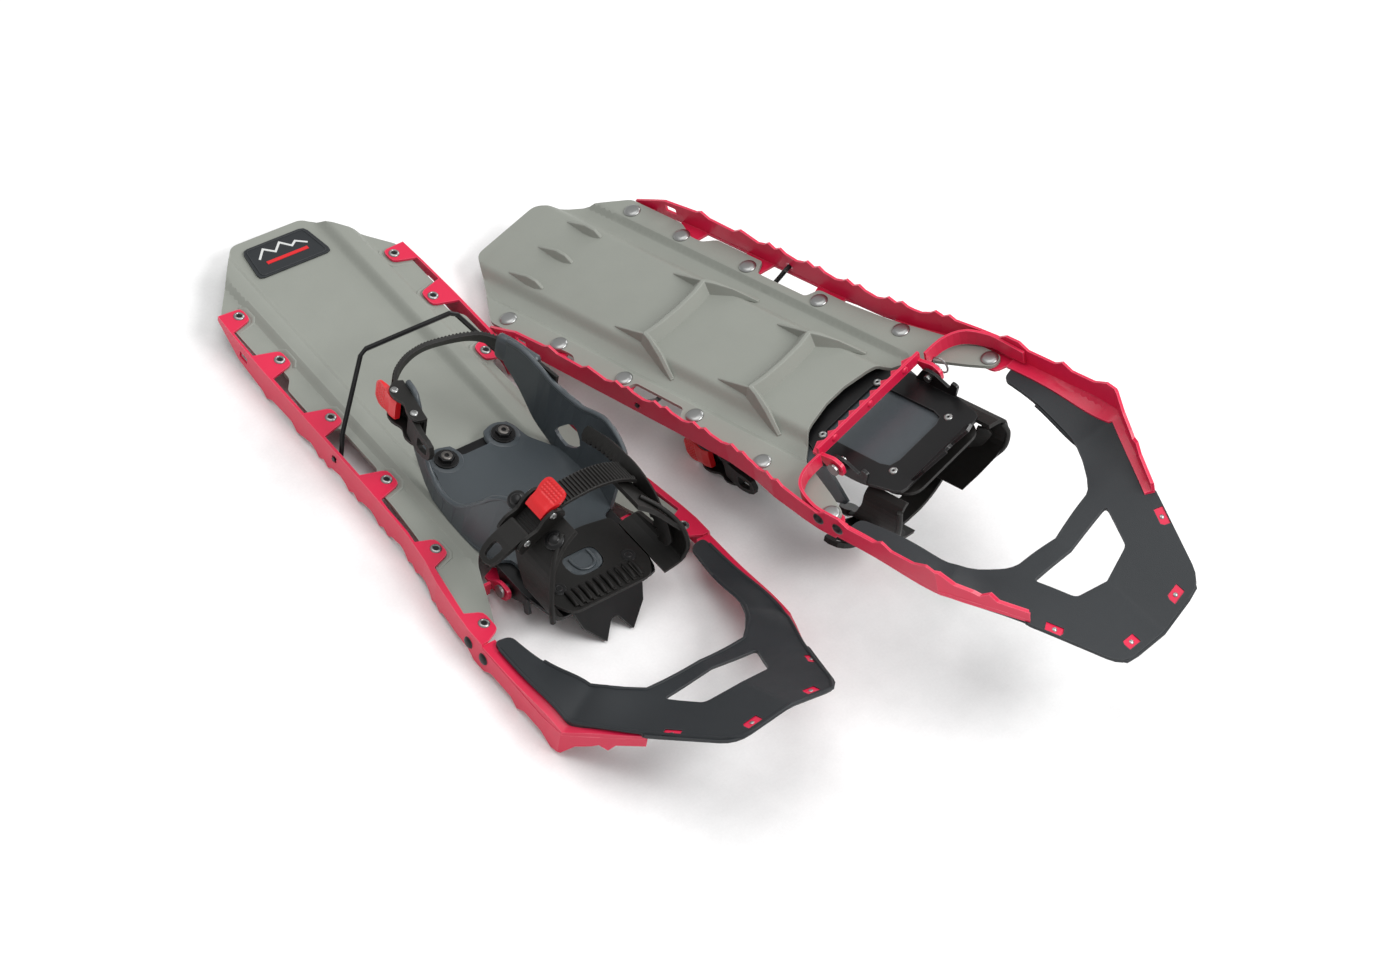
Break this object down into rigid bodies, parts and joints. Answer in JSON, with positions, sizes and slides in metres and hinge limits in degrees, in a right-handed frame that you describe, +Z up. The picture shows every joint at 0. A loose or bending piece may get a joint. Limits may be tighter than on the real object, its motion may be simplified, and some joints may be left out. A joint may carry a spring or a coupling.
{
  "type": "snowshoes",
  "caption": "Pair of moulded-deck snowshoes with toothed side rails, ratchet-strap bindings and heel lifters; one upright, one upside down.",
  "frame": {"origin": "middle of the pair's box, on the floor the right shoe's rails stand on", "axes": "+Y along the right shoe towards its toe, +Z up, +X to the right shoe's outer side"},
  "size_m": [0.4376, 0.7396, 0.1923],
  "materials": {
    "deck_grey": "fine moulded grain",
    "raspberry_steel": "satin powder coat",
    "nose_charcoal": "fine moulded grain",
    "black_steel": "black satin coat",
    "smoke_elastomer": "smoky semi-clear moulded elastomer",
    "plain_steel": "bright",
    "lever_red": "smooth",
    "black_elastomer": "matt"
  },
  "bodies": {
    "right_frame": {"right_deck": "deck_grey", "right_tail_badge": "nose_charcoal", "right_rail_outer": "raspberry_steel", "right_rail_inner": "raspberry_steel", "right_nose": "nose_charcoal", "right_bracket_outer": "raspberry_steel", "right_bracket_inner": "raspberry_steel", "right_pivot_bar": "raspberry_steel", "right_pivot_pin_outer": "plain_steel", "right_pivot_pin_inner": "plain_steel", "right_pin_ring": "plain_steel"},
    "right_binding": {"right_crampon": "black_steel", "right_harness": "smoke_elastomer", "right_harness_bolt_outer": "black_steel", "right_harness_bolt_inner": "black_steel", "right_toe_pad": "black_elastomer", "right_toe_wing_outer": "black_elastomer", "right_toe_wing_inner": "black_elastomer", "right_instep_strap": "black_elastomer", "right_heel_strap": "black_elastomer", "right_instep_buckle": "black_elastomer", "right_heel_buckle": "black_elastomer"},
    "right_bail": {"right_lift_bail": "black_steel"},
    "right_instep_ratchet": {"right_instep_ratchet_lever": "lever_red"},
    "right_instep_release": {"right_instep_release_lever": "black_elastomer"},
    "right_heel_ratchet": {"right_heel_ratchet_lever": "lever_red"},
    "right_heel_release": {"right_heel_release_lever": "black_elastomer"},
    "left_frame": {"left_deck": "deck_grey", "left_tail_badge": "nose_charcoal", "left_rail_outer": "raspberry_steel", "left_rail_inner": "raspberry_steel", "left_nose": "nose_charcoal", "left_bracket_outer": "raspberry_steel", "left_bracket_inner": "raspberry_steel", "left_pivot_bar": "raspberry_steel", "left_pivot_pin_outer": "plain_steel", "left_pivot_pin_inner": "plain_steel", "left_pin_ring": "plain_steel"},
    "left_binding": {"left_crampon": "black_steel", "left_harness": "smoke_elastomer", "left_harness_bolt_outer": "black_steel", "left_harness_bolt_inner": "black_steel", "left_toe_pad": "black_elastomer", "left_toe_wing_outer": "black_elastomer", "left_toe_wing_inner": "black_elastomer", "left_instep_strap": "black_elastomer", "left_heel_strap": "black_elastomer", "left_instep_buckle": "black_elastomer", "left_heel_buckle": "black_elastomer"},
    "left_bail": {"left_lift_bail": "black_steel"},
    "left_instep_ratchet": {"left_instep_ratchet_lever": "lever_red"},
    "left_instep_release": {"left_instep_release_lever": "black_elastomer"},
    "left_heel_ratchet": {"left_heel_ratchet_lever": "lever_red"},
    "left_heel_release": {"left_heel_release_lever": "black_elastomer"}
  },
  "joints": [
    {"name": "left_shoe_lift", "type": "slide", "parent": "right_frame", "child": "left_frame", "axis": [0, 0, 1], "range_m": [0, 0.3]},
    {"name": "right_binding_pivot", "type": "hinge", "parent": "right_frame", "child": "right_binding", "pos_m": [0.11482, 0.0312, 0.01594], "axis": [-1, 0, 0], "range_deg": [0, 66]},
    {"name": "right_bail_pivot", "type": "hinge", "parent": "right_frame", "child": "right_bail", "pos_m": [0.11482, -0.1388, 0.01594], "axis": [1, 0, 0], "range_deg": [-15, 24]},
    {"name": "right_instep_ratchet_pivot", "type": "hinge", "parent": "right_binding", "child": "right_instep_ratchet", "pos_m": [0.15623, 0.0372, 0.09866], "axis": [0, 1, 0], "range_deg": [0, 75]},
    {"name": "right_instep_release_pivot", "type": "hinge", "parent": "right_binding", "child": "right_instep_release", "pos_m": [0.17065, 0.0372, 0.08588], "axis": [0, -1, 0], "range_deg": [0, 28], "stiffness_Nm_per_rad": 0.05, "springref_deg": -11.46},
    {"name": "right_heel_ratchet_pivot", "type": "hinge", "parent": "right_binding", "child": "right_heel_ratchet", "pos_m": [0.17409, -0.10786, 0.08193], "axis": [0.0003, 0.0003, 1], "range_deg": [0, 75]},
    {"name": "right_heel_release_pivot", "type": "hinge", "parent": "right_binding", "child": "right_heel_release", "pos_m": [0.17416, -0.08858, 0.08193], "axis": [-0.0003, -0.0003, -1], "range_deg": [0, 28], "stiffness_Nm_per_rad": 0.05, "springref_deg": -11.46},
    {"name": "left_binding_pivot", "type": "hinge", "parent": "left_frame", "child": "left_binding", "pos_m": [-0.0997, 0.11584, 0.12567], "axis": [0.9592, 0.1834, -0.2151], "range_deg": [0, 66]},
    {"name": "left_bail_pivot", "type": "hinge", "parent": "left_frame", "child": "left_bail", "pos_m": [-0.07759, -0.04769, 0.08483], "axis": [-0.9592, -0.1834, 0.2151], "range_deg": [-15, 24]},
    {"name": "left_instep_ratchet_pivot", "type": "hinge", "parent": "left_binding", "child": "left_instep_ratchet", "pos_m": [-0.08152, 0.14596, 0.0399], "axis": [0.1301, -0.962, -0.2402], "range_deg": [0, 75]},
    {"name": "left_instep_release_pivot", "type": "hinge", "parent": "left_binding", "child": "left_instep_release", "pos_m": [-0.06448, 0.14601, 0.0489], "axis": [-0.1301, 0.962, 0.2402], "range_deg": [0, 28], "stiffness_Nm_per_rad": 0.05, "springref_deg": -11.46},
    {"name": "left_heel_ratchet_pivot", "type": "hinge", "parent": "left_binding", "child": "left_heel_ratchet", "pos_m": [-0.04132, 0.0063, 0.01705], "axis": [0.2507, -0.2028, 0.9466], "range_deg": [0, 75]},
    {"name": "left_heel_release_pivot", "type": "hinge", "parent": "left_binding", "child": "left_heel_release", "pos_m": [-0.04376, 0.02486, 0.02166], "axis": [-0.2507, 0.2028, -0.9466], "range_deg": [0, 28], "stiffness_Nm_per_rad": 0.05, "springref_deg": -11.46}
  ]
}
